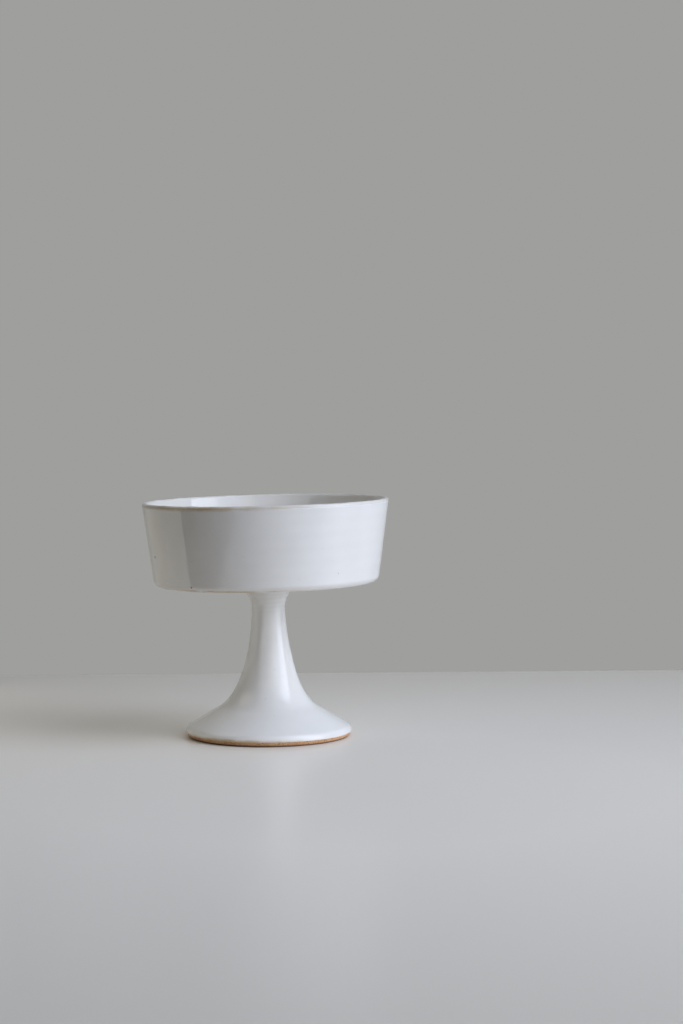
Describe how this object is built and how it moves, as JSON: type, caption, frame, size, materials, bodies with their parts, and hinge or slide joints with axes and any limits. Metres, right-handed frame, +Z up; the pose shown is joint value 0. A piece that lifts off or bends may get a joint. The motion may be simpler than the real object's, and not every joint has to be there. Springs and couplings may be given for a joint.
{
  "type": "footed pudding cup",
  "caption": "Footed dessert cup in glazed stoneware: a shallow bowl with a straight flared wall on a slim hollow trumpet foot that ends in a bare clay ring.",
  "frame": {"origin": "centre of the ring that the cup stands on, at table level", "axes": "+Z up along the axis of the thrown form, -Y towards the picture's camera, +X to its right"},
  "size_m": [0.104, 0.104, 0.101],
  "materials": {
    "stoneware": "bare fired stoneware, matt, fine sandy grain",
    "slip": "fired joining slip, matt",
    "white_glaze": "glossy white glaze, warm where it thins over an edge"
  },
  "bodies": {
    "root": {"bowl": "stoneware", "pedestal_foot": "stoneware", "joint_slip": "slip", "outer_glaze": "white_glaze", "liner_glaze": "white_glaze", "foot_lining_glaze": "white_glaze"}
  },
  "joints": []
}
